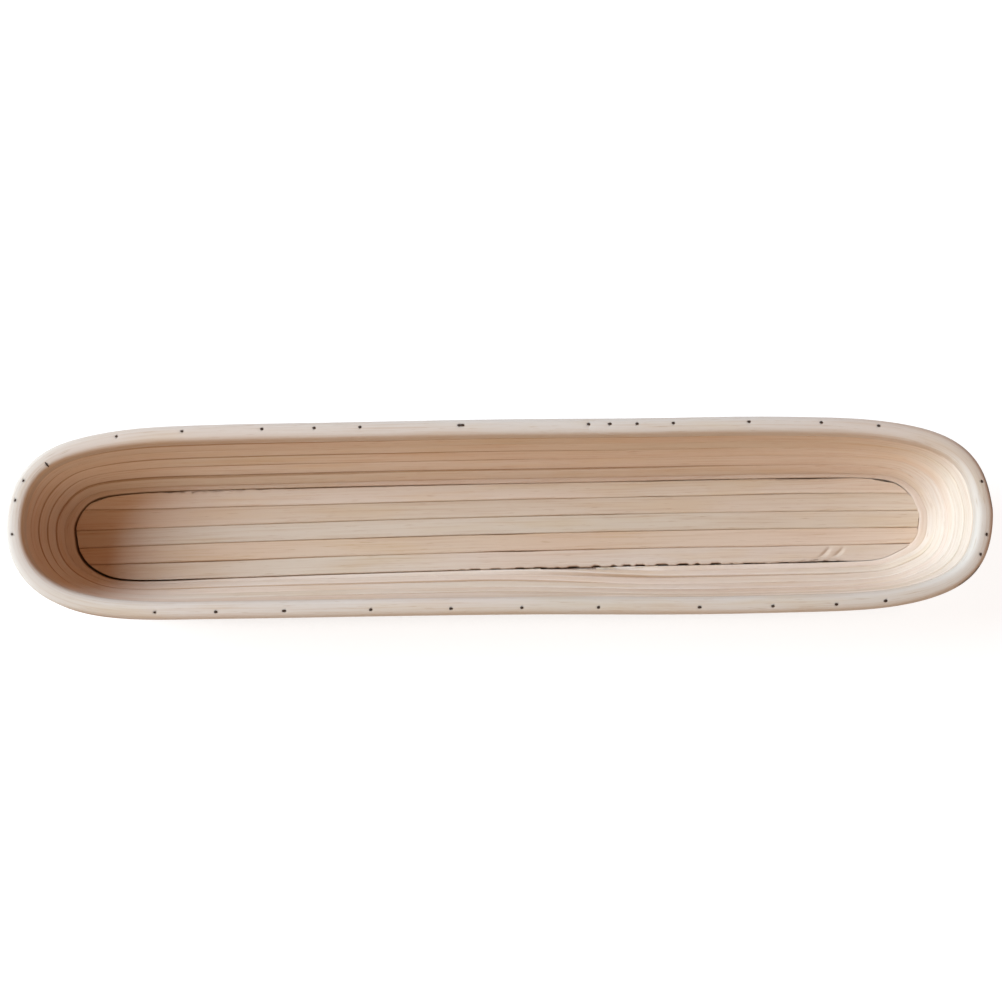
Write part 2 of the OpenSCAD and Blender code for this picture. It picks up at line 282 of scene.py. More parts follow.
class BasketSizes(bpy.types.PropertyGroup):
    """Sizes of the basket, close to those of its CAD frame, and of its canes' finish."""

    floor_length: length_of("Floor length", 383 * MM, "Length of the floor, tip to tip")
    end_length: length_of("End length", 59 * MM, "Length of each rounded end of the floor")
    end_squareness: squareness_of("End squareness", 3.05, "Shape of the floor's ends")
    floor_turn: angle_of("Floor turn", 0.65, "Turn of the floor against the rim")
    cane_size: length_of("Cane size", 7.3 * MM, "Height of a cane that lies on the table")
    cane_gap: length_of("Cane gap", 0.65 * MM, "Room between neighbouring canes in the frame")
    side_outs: lengths_of("Side outs", (4.3, 2.9, 3.6, 3.0, 2.5, 1.7, 1.0), "Steps outwards at the sides")
    side_rises: lengths_of("Side rises", (3.3, 7.25, 6.8, 7.5, 7.7, 7.9, 8.0), "Steps upwards there")
    side_leans: angles_of("Side leans", (0, 22, 26, 21, 16, 11, 2), "Lean of each turn's section there")
    end_outs: lengths_of("End outs", (4.3, 4.3, 2.3, 2.3, 2.3, 2.2, 1.4), "Steps outwards at the ends")
    end_rises: lengths_of("End rises", (3.3, 7.95, 7.4, 7.4, 7.4, 7.5, 7.6), "Steps upwards there")
    end_leans: angles_of("End leans", (0, 18, 17, 17, 16, 13, 0), "Lean of each turn's section there")
    ramp_length: length_of("Ramp length", 96 * MM, "Length over which each turn climbs")
    ramp_middle: length_of("Ramp middle", 30 * MM, "Middle of that climb along the near side")
    scarf_length: length_of("Scarf length", 46 * MM, "Length of the slanting joint in the rim")
    scarf_middle: length_of("Scarf middle", 56 * MM, "Middle of that joint along the far side")
    feather: length_of("Feather", 0.03 * MM, "Thickness of the cane where it is whittled thinnest")
    foot_wedge: length_of("Foot wedge", 2.4 * MM, "How much higher the first turn is on its outer side")
    press: length_of("Press", 0.2 * MM, "How far neighbouring canes are pressed into each other")
    section_squareness: squareness_of("Section squareness", 9.0, "Shape of the cane's section")
    rim_squareness: squareness_of("Rim squareness", 2.8, "Shape of the upper half of the rim's section")
    left_room: length_of("Left room", 0.95 * MM, "Room between the floor and the wall at the left end")
    right_room: length_of("Right room", 0.2 * MM, "Room between the floor and the wall at the right end")
    nail_head: length_of("Nail head", 1.15 * MM, "Diameter of a nail's head")


class BasketColours(bpy.types.PropertyGroup):
    """Colours of the canes and nails, as they look in plain light."""

    rim: colour_of("Rim", "#d4cbc3", "Rim hoop, bleached by handling")
    wall: colour_of("Wall", "#e0d1c5", "Wall coil")
    floor_1: colour_of("Floor cane 1", "#e4d5c7", "Far floor cane")
    floor_2: colour_of("Floor cane 2", "#dac9b8", "Second floor cane")
    floor_3: colour_of("Floor cane 3", "#d7c8b8", "Middle floor cane")
    floor_4: colour_of("Floor cane 4", "#d9c1ad", "Fourth floor cane")
    floor_5: colour_of("Floor cane 5", "#d5c3b4", "Near floor cane")
    fibre: colour_of("Split fibre", "#e6d8c6", "Dry fibres split off along the joints")
    nail: colour_of("Nails", "#271910", "Nails, dark with rust")


class BasketStage(bpy.types.PropertyGroup):
    """Camera, lamps and the light of the room."""

    target: lengths_of("Target", (-1.284, 7.468, 45), "Point in the middle of the view")
    distance: length_of("Distance", 893.06 * MM, "From the camera to its target")
    azimuth: angle_of("Azimuth", -17.757, "Way round from the near side to the camera")
    elevation: angle_of("Elevation", 83.019, "Height of the camera above the table")
    roll: angle_of("Roll", 16.933, "Turn of the camera about its own line of sight")
    lens: FloatProperty(name="Lens", description="Focal length in millimetres", default=73.5, unit="CAMERA")
    lamp_distance: length_of("Lamp distance", 4.0, "From the soft lamps to the basket")
    lamp_width: length_of("Lamp width", 2.6, "Diameter of the soft lamps")
    key_azimuth: angle_of("Key azimuth", 161, "Way round from the right end to the window")
    key_elevation: angle_of("Key elevation", 35, "Height of the window above the table")
    key_power: power_of("Key", 259.0, "Power of the window's light")
    key_colour: colour_of("Key colour", "#d6f0ff", "Daylight")
    near_azimuth: angle_of("Near azimuth", 255, "Way round from the right end to the lamp on the near side")
    near_elevation: angle_of("Near elevation", 40, "Height of that lamp above the table")
    near_power: power_of("Near", 36.0, "Power of that lamp")
    near_colour: colour_of("Near colour", "#fff2d2", "Light thrown back by a pale wall")
    fill_strength: FloatProperty(name="Fill", description="Strength of the light all round", default=0.29)
    fill_colour: colour_of("Fill colour", "#ffad6e", "Warm light of the room")


def signed_power(value, power):
    """A sine or cosine drawn towards a squarer outline, with its sign kept."""
    return math.copysign(abs(value) ** power, value)


def ease(share):
    share = min(max(share, 0.0), 1.0)
    return share * share * (3 - 2 * share)


def drift(x, y, seed, scale):
    """A drift between about -1 and 1 from place to place, as hand work leaves it along a cane."""
    return DRIFT_GAIN * noise.noise((x / scale, y / scale, seed * SEED_STEP))


class Run:
    """Places in a row, each with x, y and the way out from there, looked up by the distance along them."""

    def __init__(self, places, reach):
        """Distances are measured at some reach outside the places."""
        self.places = places
        self.marks = [0.0]
        spots = [Vector((p.x + p.z * reach, p.y + p.w * reach)) for p in places]
        for one, other in zip(spots, spots[1:]):
            self.marks.append(self.marks[-1] + (other - one).length)
        self.length = self.marks[-1]

    def at(self, distance):
        distance %= self.length
        index = min(bisect_right(self.marks, distance), len(self.marks) - 1)
        low, high = self.marks[index - 1], self.marks[index]
        return self.places[index - 1].lerp(self.places[index], (distance - low) / (high - low))


def rounded(angle, squareness, length, width):
    """A place on a rounded outline by its angle, where a squareness of 2 is an ellipse: x, y and way out."""
    power = 2 / squareness
    along, across = math.cos(angle), math.sin(angle)
    out = Vector((signed_power(along, 2 - power) / length, signed_power(across, 2 - power) / width))
    out.normalize()
    return Vector((signed_power(along, power) * length, signed_power(across, power) * width, out.x, out.y))


def pitch(sizes):
    return sizes.cane_size + sizes.cane_gap


def wound_size(sizes):
    """Width and height of a wound cane, which is pressed on to the turn below."""
    return pitch(sizes) - WOUND_GAP * sizes.cane_gap, pitch(sizes) + sizes.press


def half_floor(sizes):
    """Half the floor's width, and half the length of its straight sides."""
    return (FLOOR_COUNT * pitch(sizes) - sizes.cane_gap) / 2, sizes.floor_length / 2 - sizes.end_length


def end_place(sizes, angle, end=1):
    """A place on the right or left end of the floor, by its angle from the tip towards the far side."""
    width, straight = half_floor(sizes)
    x, y, out, aside = rounded(angle, sizes.end_squareness, sizes.end_length, width)
    return Vector((end * (straight + x), y, end * out, aside))


def floor_run(sizes):
    """Places round the floor from the middle of the near side, first to the right, spaced as on the wall."""
    width, _ = half_floor(sizes)
    start = Vector((0, -width, 0, -1))
    right = [end_place(sizes, math.pi / 2 * i / END_SAMPLES) for i in range(-END_SAMPLES, END_SAMPLES + 1)]
    reach = cane_levels(sizes, "side")[WALL_TURNS // 2].x
    return Run([start, *right, *(-place for place in right), start], reach)


def cane_levels(sizes, part):
    """Middle of the cane at each level of a side or end: way out from the floor, height, lean and turn."""
    outs, rises, leans = (getattr(sizes, f"{part}_{kind}") for kind in ("outs", "rises", "leans"))
    turns = [sizes.floor_turn * (1 - level / WALL_TURNS) for level in range(WALL_TURNS + 1)]
    return [Vector(numbers) for numbers in zip(accumulate(outs), accumulate(rises), leans, turns)]


def cane_section(shape, width, height, sides):
    """Corners of the cane's section, closest at its round edges, as shares of half its width and height."""
    angles = [2 * math.pi * i / SECTION_SAMPLES for i in range(SECTION_SAMPLES + 1)]
    squares = [shape.above if angle < math.pi else shape.below for angle in angles]
    places = [rounded(angle, square, width / 2, height / 2) for angle, square in zip(angles, squares)]
    run = Run(places, EDGE_SHARE)
    spots = [run.at(run.length * i / sides) for i in range(sides)]
    return [Vector((2 * spot.x / width, 2 * spot.y / height)) for spot in spots]


def bow(x):
    """How far the floor bows towards the far side at a place along it."""
    return BOW_SHIFT - BOW_DEPTH * ((x - BOW_MIDDLE) / BOW_REACH) ** 2


def bulging(bulges, x, y, sizes):
    """How far a handmade outline stands out of its regular form, seen from the middle towards a place."""
    half_width, _ = half_floor(sizes)
    turn = math.degrees(math.atan2(y / half_width, 2 * x / sizes.floor_length))
    shares = [((turn - bulge.angle + 180) % 360 - 180) / bulge.spread for bulge in bulges]
    return sum(bulge.out * math.exp(-(share**2)) for bulge, share in zip(bulges, shares)) * MM


def laid(x, y, sizes):
    """Where a place on the regular floor comes to lie on the handmade one."""
    half_width, straight = half_floor(sizes)
    power = sizes.end_squareness
    along, across = max(abs(x) - straight, 0.0) / sizes.end_length, abs(y) / half_width
    slope = (along ** (power - 1) / sizes.end_length, across ** (power - 1) / half_width)
    way = Vector((math.copysign(slope[0], x), math.copysign(slope[1], y))).normalized()
    return Vector((x, y + bow(x))) + way * bulging(FLOOR_BULGES, x, y, sizes) * (along**power + across**power)


class Winding:
    """Stands the sections of a wound cane on the wall, with the small faults of hand work."""

    def __init__(self, sizes, seed):
        self.sizes, self.seed = sizes, seed
        self.width, self.height = wound_size(sizes)
        self.side, self.end = cane_levels(sizes, "side"), cane_levels(sizes, "end")

    def station(self, place, level, along, low=-1.0, high=1.0):
        """The section at a place and level, of which only the share from low to high is left."""
        lower = min(int(level), WALL_TURNS - 1)
        side, end = (levels[lower].lerp(levels[lower + 1], level - lower) for levels in (self.side, self.end))
        out, up, tilt, turn = side.lerp(end, abs(place.z))
        if lower == 0:
            # The first climb clings to the floor, and only steps out at its top
            out = self.side[0].x + (out - self.side[0].x) * level
        share, foot = level / WALL_TURNS, max(1 - level, 0.0)
        seed = self.seed + LEVEL_SEED * level
        below, above, belly = (
            bulging(bulges, place.x, place.y, self.sizes)
            for bulges in (FLOOR_BULGES, RIM_BULGES, (WALL_BELLY,))
        )
        out += below + (above - below) * share + WALL_STRAY * drift(place.x, place.y, seed, SLOW_DRIFT)
        out += belly * share**BELLY_FOOT * (1 - share**BELLY_TOP)
        tilt += TIP * drift(place.x, place.y, seed + 1, SLOW_DRIFT)
        spin = Matrix.Rotation(turn, 3, "Z")
        outward, upward = Vector((place.z, place.w, 0)).normalized(), Vector((0, 0, 1))
        # Dust and painted shade darken the joints below and above, more towards the left end, thinner on the
        # first turn's open top and at the floor
        dust_and_shade = DUST_AND_SHADE - SHADE_LEFT * 2 * place.x / self.sizes.floor_length
        ways = [Vector((0, -dust_and_shade)), Vector(((FOOT_PALER - dust_and_shade) * foot, 0))]
        if level < WALL_TURNS:
            ways.append(Vector((0, (dust_and_shade + DUST_AND_SHADE_TOP) * (1 - foot) + FOOT_DUST_AND_SHADE * foot)))
        return Station(
            spin @ (Vector((place.x, place.y + bow(place.x) * (1 - share), up)) + outward * out),
            spin @ (outward * math.cos(tilt) - upward * math.sin(tilt)) * (self.width / 2),
            spin @ (outward * math.sin(tilt) + upward * math.cos(tilt)) * (self.height / 2),
            ways,
            self.sizes.foot_wedge * foot,
            low,
            high,
            along,
        )


def whittled(corner, low, high, shape):
    """Where a corner of the section comes to lie when only the share from low to high is left of the cane."""
    y = min(max(corner.y, low), high)
    square = shape.above if y > 0 else shape.below
    half = (1 - abs(y) ** square) ** (1 / square)
    return Vector((min(max(corner.x, -half), half), y))


def rolled_cane(stations, section, shape):
    """A sheet with a row for each station, rolled up into a cane, with its seam welded and its ends closed.

    Each corner keeps its place in the straightened cane, and how far it leans towards a neighbouring cane.
    """
    bm = bmesh.new()
    fibre = bm.verts.layers.float_vector.new("fibre")
    groove = bm.verts.layers.float.new("groove")
    bm.verts.layers.float.new("stain")
    rows, sides = len(stations) - 1, len(section)
    bmesh.ops.create_grid(bm, x_segments=rows, y_segments=sides, size=0.5)
    for vert in bm.verts:
        station = stations[round((vert.co.x + 0.5) * rows)]
        corner = section[round((vert.co.y + 0.5) * sides) % sides]
        if station.low > -1 or station.high < 1:
            corner = whittled(corner, station.low, station.high, shape)
        vert.co = station.middle + station.across * corner.x + station.up * corner.y
        vert.co.z += station.wedge * (corner.x + 1) * (corner.y + 1) / 4
        vert.co.z = max(vert.co.z, 0.0)
        vert[fibre] = (station.along, station.across.length * corner.x, station.up.length * corner.y)
        vert[groove] = max(way.dot(corner) for way in station.ways)
    bmesh.ops.remove_doubles(bm, verts=[v for v in bm.verts if v.is_boundary], dist=SEAM_WELD)
    bmesh.ops.holes_fill(bm, edges=[e for e in bm.edges if e.is_boundary])
    return bm


def dress(bm, name, material, slot, *nodes):
    """Makes a piece of a finished bmesh, which stands for the CAD nodes named."""
    bmesh.ops.recalc_face_normals(bm, faces=bm.faces)
    for face in bm.faces:
        face.smooth = len(face.verts) <= 4
        if not face.smooth:
            for edge in face.edges:
                edge.smooth = False
    mesh = bpy.data.meshes.new(name)
    bm.to_mesh(mesh)
    bm.free()
    mesh.materials.append(material)
    piece = bpy.data.objects.new(name, mesh)
    bpy.context.scene.collection.objects.link(piece)
    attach(piece, "root")
    if nodes:
        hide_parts(*nodes)


def add_node(tree, kind, inputs, **settings):
    """Adds a node with its settings, and fills or links its inputs."""
    node = tree.nodes.new(kind)
    for name, value in settings.items():
        setattr(node, name, value)
    for socket, value in inputs.items():
        if isinstance(value, bpy.types.NodeSocket):
            tree.links.new(value, node.inputs[socket])
        else:
            node.inputs[socket].default_value = value
    return node


def new_material(name):
    """An empty material and its node tree."""
    material = bpy.data.materials.new(name)
    material.use_nodes = True
    material.node_tree.nodes.clear()
    return material, material.node_tree


def tinted(tree, tone, level, step):
    """Tints a tone where a level has passed a step's start, and wholly from the step's full value on."""
    share = add_node(
        tree,
        "ShaderNodeMapRange",
        {"Value": level, "From Min": step.start, "From Max": step.full},
        interpolation_type="SMOOTHSTEP",
    )
    mixed = add_node(
        tree,
        "ShaderNodeMix",
        {0: share.outputs[0], 6: tone, 7: (*linear(step.tint), 1)},
        data_type="RGBA",
        blend_type="MULTIPLY",
    )
    return mixed.outputs[2]


def rattan_core(name, colour):
    """Rattan core, drawn through a die: matt and pale, with long fibres, fine pores, and joints darkened by
    dust and painted shade.
    """
    material, tree = new_material(name)
    fibre = add_node(tree, "ShaderNodeAttribute", {}, attribute_name="fibre").outputs["Vector"]
    tone = (*colour, 1)
    relief = 0.0
    for seed, grain in enumerate(RATTAN_GRAIN):
        place = add_node(
            tree,
            "ShaderNodeMapping",
            {
                "Vector": fibre,
                "Scale": (1 / (grain.length * MM), 1 / (grain.width * MM), 1 / (grain.width * MM)),
                "Location": (seed * GRAIN_SHIFT,) * 3,
            },
        )
        pattern = add_node(
            tree, "ShaderNodeTexNoise", {"Vector": place.outputs[0], "Scale": 1.0, "Detail": grain.detail}
        ).outputs[0]
        tone = tinted(tree, tone, pattern, grain)
        if grain.relief:
            relief = add_node(
                tree, "ShaderNodeMath", {0: pattern, 1: grain.relief, 2: relief}, operation="MULTIPLY_ADD"
            ).outputs[0]
    # Each tint is dust and painted shade in the joints, or rust round the nails and painted shade on the
    # rim's right edge
    for soil_and_shade in SOIL_AND_SHADE_TINTS:
        level = add_node(tree, "ShaderNodeAttribute", {}, attribute_name=soil_and_shade.attribute).outputs["Fac"]
        tone = tinted(tree, tone, level, soil_and_shade)
    # Open pores are rougher than the wood between them
    rough = add_node(tree, "ShaderNodeMapRange", {"Value": pattern, "To Min": 0.62, "To Max": 0.84})
    bump = add_node(tree, "ShaderNodeBump", {"Height": relief, "Strength": 1.0, "Distance": MM})
    shader = add_node(
        tree,
        "ShaderNodeBsdfPrincipled",
        {
            "Base Color": tone,
            "Roughness": rough.outputs[0],
            "Normal": bump.outputs[0],
            "Specular IOR Level": 0.2,
        },
    )
    add_node(tree, "ShaderNodeOutputMaterial", {"Surface": shader.outputs[0]})
    return material


def split_fibre(colour):
    """Split rattan fibre: dry and pale, some of it straw yellow, dull all over."""
    material, tree = new_material("Split rattan fibre")
    place = add_node(tree, "ShaderNodeTexCoord", {}).outputs["Object"]
    # Every fibre has its own tone, which changes over a few millimetres
    pattern = add_node(
        tree, "ShaderNodeTexNoise", {"Vector": place, "Scale": 1 / (4 * MM), "Detail": 2.0}
    ).outputs[0]
    mixed = add_node(
        tree, "ShaderNodeMix", {0: pattern, 6: (*colour, 1), 7: (*linear("#cdb593"), 1)}, data_type="RGBA"
    )
    rough = add_node(tree, "ShaderNodeMapRange", {"Value": pattern, "To Min": 0.7, "To Max": 0.9})
    bump = add_node(tree, "ShaderNodeBump", {"Height": pattern, "Strength": 0.5, "Distance": 0.1 * MM})
    shader = add_node(
        tree,
        "ShaderNodeBsdfPrincipled",
        {
            "Base Color": mixed.outputs[2],
            "Roughness": rough.outputs[0],
            "Normal": bump.outputs[0],
            "Specular IOR Level": 0.2,
        },
    )
    add_node(tree, "ShaderNodeOutputMaterial", {"Surface": shader.outputs[0]})
    return material


def wire_nail_steel(colour):
    """Drawn steel wire nails: dull and nearly black, with small brown spots of rust."""
    material, tree = new_material("Rusted wire-nail steel")
    place = add_node(tree, "ShaderNodeTexCoord", {}).outputs["Object"]
    # Rust comes in spots about a third of a millimetre across
    rust = add_node(
        tree, "ShaderNodeTexNoise", {"Vector": place, "Scale": 1 / (0.35 * MM), "Detail": 3.0}
    ).outputs[0]
    spots = add_node(tree, "ShaderNodeMapRange", {"Value": rust, "From Min": 0.45, "From Max": 0.7})
    mixed = add_node(
        tree,
        "ShaderNodeMix",
        {0: spots.outputs[0], 6: (*colour, 1), 7: (*linear("#4a2e1c"), 1)},
        data_type="RGBA",
    )
    rough = add_node(
        tree,
        "ShaderNodeMapRange",
        {"Value": rust, "From Min": 0.3, "From Max": 0.7, "To Min": 0.5, "To Max": 0.8},
    )
    bump = add_node(tree, "ShaderNodeBump", {"Height": rust, "Strength": 0.4, "Distance": 0.05 * MM})
    shader = add_node(
        tree,
        "ShaderNodeBsdfPrincipled",
        {
            "Base Color": mixed.outputs[2],
            "Roughness": rough.outputs[0],
            "Metallic": 0.35,
            "Normal": bump.outputs[0],
        },
    )
    add_node(tree, "ShaderNodeOutputMaterial", {"Surface": shader.outputs[0]})
    return material


def open_joint(x, side):
    """How far the floor stands off the first turn at a place along it, broken up by fibres that bridge it."""
    widths = [0.0]
    for joint in OPEN_JOINTS:
        if joint.side == side:
            half = (joint.end - joint.start) / 2
            share = 1 - abs(x - joint.start - half) / half
            widths.append(joint.width * ease(2 * share))
    bridged = drift(x, 0, side + BRIDGE_SEED, BRIDGE_LENGTH)
    return max(widths) * ease(BRIDGE_OPEN + BRIDGE_EDGE * bridged) + min(widths)


def dent_height(x, y):
    """How far the slanting dents lower the near floor cane, or their lips raise it, at a place on its top."""
    height = 0.0
    for middle_x, middle_y in DENTS:
        along = (x - middle_x) * math.cos(DENT_SLANT) + (y - middle_y) * math.sin(DENT_SLANT)
        off = ((x - middle_x) * math.sin(DENT_SLANT) - (y - middle_y) * math.cos(DENT_SLANT)) / DENT_WIDTH
        fade = math.exp(-((along / DENT_LENGTH) ** DENT_ENDS))
        height += fade * (DENT_LIP * math.exp(-((off - LIP_PLACE) ** 2)) - DENT_DEPTH * math.exp(-(off**2)))
    return height


class BASKET_OT_floor_canes(bpy.types.Operator):
    """Lays five straight canes side by side and trims them to the floor's outline"""

    bl_idname = "basket.floor_canes"
    bl_label = "Lay Floor Canes"

    def execute(self, context):
        sizes, colours = context.scene.basket_sizes, context.scene.basket_colours
        shape = Shape(sizes.section_squareness, sizes.section_squareness)
        section = cane_section(shape, pitch(sizes), sizes.cane_size, FLOOR_SIDES)
        for index in range(1, FLOOR_COUNT + 1):
            bm = rolled_cane(self.stations(sizes, index), section, shape)
            self.trim(bm, sizes, index)
            bmesh.ops.rotate(bm, verts=bm.verts, matrix=Matrix.Rotation(sizes.floor_turn, 3, "Z"))
            material = rattan_core(f"Rattan core, floor cane {index}", getattr(colours, f"floor_{index}"))
            dress(bm, f"floor_cane_{index}_rattan", material, "floor_rattan", f"floor_cane_{index}")
        return {"FINISHED"}

    def middle(self, sizes, index):
        """Where the middle line of a cane lies, counted from the far side."""
        return (FLOOR_COUNT / 2 + 0.5 - index) * pitch(sizes)

    def stations(self, sizes, index):
        """Sections along a straight cane, which has shrunk in places."""
        seed = FLOOR_SEED * index
        start = self.middle(sizes, index)
        rows = round(sizes.floor_length / FLOOR_ROW)
        stations = []
        for row in range(rows + 1):
            x = (row / rows - 0.5) * sizes.floor_length
            # Dust and painted shade darken both edges; the lighter right half is painted shade
            dust_and_shade = 1 - SHADE_LEFT * max(x / sizes.floor_length, 0.0)
            ways = [Vector((dust_and_shade, 0)), Vector((-dust_and_shade, 0))]
            shrunk = max(drift(x, 0, seed + 2, QUICK_DRIFT) - SHRINK_START, 0.0)
            width = pitch(sizes) + sizes.press - SHRINK * shrunk
            y = start + FLOOR_STRAY * drift(x, 0, seed, SLOW_DRIFT)
            z = sizes.cane_size / 2 + FLOOR_STRAY * drift(x, 0, seed + 1, SLOW_DRIFT)
            across, up = Vector((0, width / 2, 0)), Vector((0, 0, sizes.cane_size / 2))
            stations.append(Station(Vector((x, y, z)), across, up, ways, 0.0, -1.0, 1.0, x))
        return stations

    def trim(self, bm, sizes, index):
        """Draws the cane's ends in to the outline, opens its joint to the wall, and bends and dents it."""
        half_width, straight = half_floor(sizes)
        half_length = sizes.floor_length / 2
        fibre = bm.verts.layers.float_vector["fibre"]
        side = {1: 1, FLOOR_COUNT: -1}.get(index, 0)
        middle = self.middle(sizes, index)
        for vert in bm.verts:
            x, y, z = vert.co
            share = min(abs(y) / half_width, 1.0) ** sizes.end_squareness
            reach = straight + sizes.end_length * (1 - share) ** (1 / sizes.end_squareness)
            room = self.right_room(y, sizes) if x > 0 else self.left_room(y, sizes)
            reach += FLOOR_REACH * sizes.cane_gap - room
            if abs(x) > TRIM_START:
                stretch = (reach - TRIM_START) / (half_length - TRIM_START)
                x = math.copysign(TRIM_START + (abs(x) - TRIM_START) * stretch, x)
            outer = max(side * (y - middle) / (pitch(sizes) / 2), 0.0)
            spot = laid(x, y - side * outer * open_joint(x, side), sizes)
            if index == FLOOR_COUNT and z > sizes.cane_size / 2:
                z += dent_height(spot.x, spot.y)
            vert.co = (spot.x, spot.y, z)
            vert[fibre] = (x + index, vert[fibre].y, vert[fibre].z)

    def left_room(self, y, sizes):
        """How much the floor falls short of the wall at its left end, more so on the near side."""
        half_width, _ = half_floor(sizes)
        return sizes.left_room * (1 - LEFT_SLANT * y / half_width)

    def right_room(self, y, sizes):
        """How much the floor falls short of the wall at its right end, where it touches it here and there."""
        half_width, _ = half_floor(sizes)
        near = ease((-SHUT_NEAR * half_width - y) / SHUT_START)
        elsewhere = ease(SHUT_OFTEN + SHUT_EDGE * drift(0, y, SHUT_SEED, BRIDGE_LENGTH))
        return sizes.right_room - SHUT_REACH * min(near + elsewhere, 1.0)


class BASKET_OT_wall_coil(bpy.types.Operator):
    """Winds one long cane round the floor and up the wall, climbing on the near side"""

    bl_idname = "basket.wall_coil"
    bl_label = "Wind Wall Coil"

    def execute(self, context):
        sizes, colours = context.scene.basket_sizes, context.scene.basket_colours
        run = floor_run(sizes)
        winding = Winding(sizes, WALL_SEED)
        first = sizes.ramp_middle - sizes.ramp_length / 2
        stations = []
        for row in range(round((WALL_TURNS * run.length + sizes.ramp_length) / WALL_ROW) + 1):
            along = row * WALL_ROW
            lap, part = divmod(along, run.length)
            climb = ease(part / sizes.ramp_length)
            level, low, high = lap - 1 + climb, -1.0, 1.0
            if lap == 0:
                level, high = 0.0, 2 * climb - 1
            if lap == WALL_TURNS:
                level, low = WALL_TURNS - 1.0, 2 * climb - 1
            if (high - low) / 2 * winding.height >= sizes.feather:
                stations.append(winding.station(run.at(first + along), level, along, low, high))
        shape = Shape(sizes.section_squareness, sizes.section_squareness)
        section = cane_section(shape, winding.width, winding.height, WALL_SIDES)
        bm = rolled_cane(stations, section, shape)
        material = rattan_core("Rattan core, wall", colours.wall)
        dress(bm, "wall_coil_rattan", material, "wall_rattan", "wall_coil")
        return {"FINISHED"}


class BASKET_OT_rim_hoop(bpy.types.Operator):
    """Closes the rim with a hoop whose slanting ends lie on each other, and dents it where nails go in"""

    bl_idname = "basket.rim_hoop"
    bl_label = "Close Rim Hoop"

    def execute(self, context):
        sizes, colours = context.scene.basket_sizes, context.scene.basket_colours
        run = floor_run(sizes)
        winding = Winding(sizes, RIM_SEED)
        first = run.length / 2 - sizes.scarf_middle - sizes.scarf_length / 2
        stations = []
        for row in range(round((run.length + sizes.scarf_length) / RIM_ROW) + 1):
            along = row * RIM_ROW
            lap, part = divmod(along, run.length)
            climb = ease(part / sizes.scarf_length)
            # The upper end runs out under the skin of the lower one, so that no step is left
            sink = SINK * ease((part / sizes.scarf_length - SINK_START) / (1 - SINK_START))
            low, high = (-1.0, 2 * climb - 1) if lap == 0 else (2 * climb - 1, 1.0 - sink)
            if (high - low) / 2 * winding.height >= sizes.feather:
                stations.append(winding.station(run.at(first + along), WALL_TURNS, along, low, high))
        # Handling has rounded the rim's top, but it still lies flat on the wall
        shape = Shape(sizes.section_squareness, sizes.rim_squareness)
        section = cane_section(shape, winding.width, winding.height, RIM_SIDES)
        bm = rolled_cane(stations, section, shape)
        # Painted shade on the rim's outer edge at the right end
        self.paint_edge_shade(bm, winding.width)
        self.press(bm, sizes)
        material = rattan_core("Rattan core, rim", colours.rim)
        dress(bm, "rim_hoop_rattan", material, "rim_rattan", "rim_hoop")
        return {"FINISHED"}

    def paint_edge_shade(self, bm, width):
        """Paints shade on the outer edge at the right end, the side away from the window, in patches."""
        stain, fibre = bm.verts.layers.float["stain"], bm.verts.layers.float_vector["fibre"]
        for vert in bm.verts:
            edge = ease((2 * vert[fibre].y / width - EDGE_SHADE_FROM) / (1 - EDGE_SHADE_FROM))
            patch = ease(EDGE_SHADE_COVER + drift(vert.co.x, vert.co.y, EDGE_SHADE_SEED, EDGE_SHADE_PATCH))
            end = ease((vert.co.x - EDGE_SHADE_START) / (CAD_HIGH[0] - EDGE_SHADE_START))
            vert[stain] = EDGE_SHADE * edge * patch * end

    def press(self, bm, sizes):
        """Presses the wood in round each nail, and stains it there."""
        stain = bm.verts.layers.float["stain"]
        verts = list(bm.verts)
        tree = kdtree.KDTree(len(verts))
        for index, vert in enumerate(verts):
            tree.insert(vert.co, index)
        tree.balance()
        reach = PRESS_REACH * sizes.nail_head
        for spot in rim_nail_spots(sizes):
            down = spot.to_3x3() @ Vector((0, 0, -1))
            for _, index, distance in tree.find_range(spot.translation, reach):
                share = ease(1 - distance / reach)
                verts[index][stain] = max(verts[index][stain], share)
                verts[index].co += down * sizes.nail_head * PRESS_DEPTH * share


def nail_spot(place, out, up, angle):
    """Where a nail's head stands: out from the floor's outline, up, leaning outwards by an angle."""
    return (
        Matrix.Translation((place.x + place.z * out, place.y + place.w * out, up))
        @ Matrix.Rotation(math.atan2(place.w, place.z), 4, "Z")
        @ Matrix.Rotation(angle, 4, "Y")
    )


def rim_nail_spots(sizes):
    """The nails along the rim, and last the one that was bent over."""
    width, straight = half_floor(sizes)
    places = [Vector((share * straight, width, 0, 1)) for share in RIM_NAILS_FAR]
    places += [Vector((share * straight, -width, 0, -1)) for share in RIM_NAILS_NEAR]
    places += [end_place(sizes, math.radians(angle)) for angle in RIM_NAILS_RIGHT]
    places += [end_place(sizes, math.radians(angle), -1) for angle in (*RIM_NAILS_LEFT, BENT_NAIL)]
    out, up, _, _ = cane_levels(sizes, "side")[WALL_TURNS]
    _, cane_height = wound_size(sizes)
    height = up + cane_height / 2 + NAIL_PROUD
    *outs, bent_out = [out + bulging(RIM_BULGES, place.x, place.y, sizes) for place in places]
    spots = [
        nail_spot(place, reach + RIM_NAIL_OUT, height, RIM_NAIL_LEAN) for place, reach in zip(places, outs)
    ]
    deeper = len(spots) - len(RIM_NAILS_LEFT)
    spots[deeper:] = [spot @ Matrix.Diagonal((LEFT_HEAD, LEFT_HEAD, 1, 1)) for spot in spots[deeper:]]
    bent = nail_spot(places[-1], bent_out - BENT_IN, height, 0.0)
    return [*spots, bent @ Matrix.Diagonal((BENT_LENGTH, BENT_WIDTH, 1, 1))]


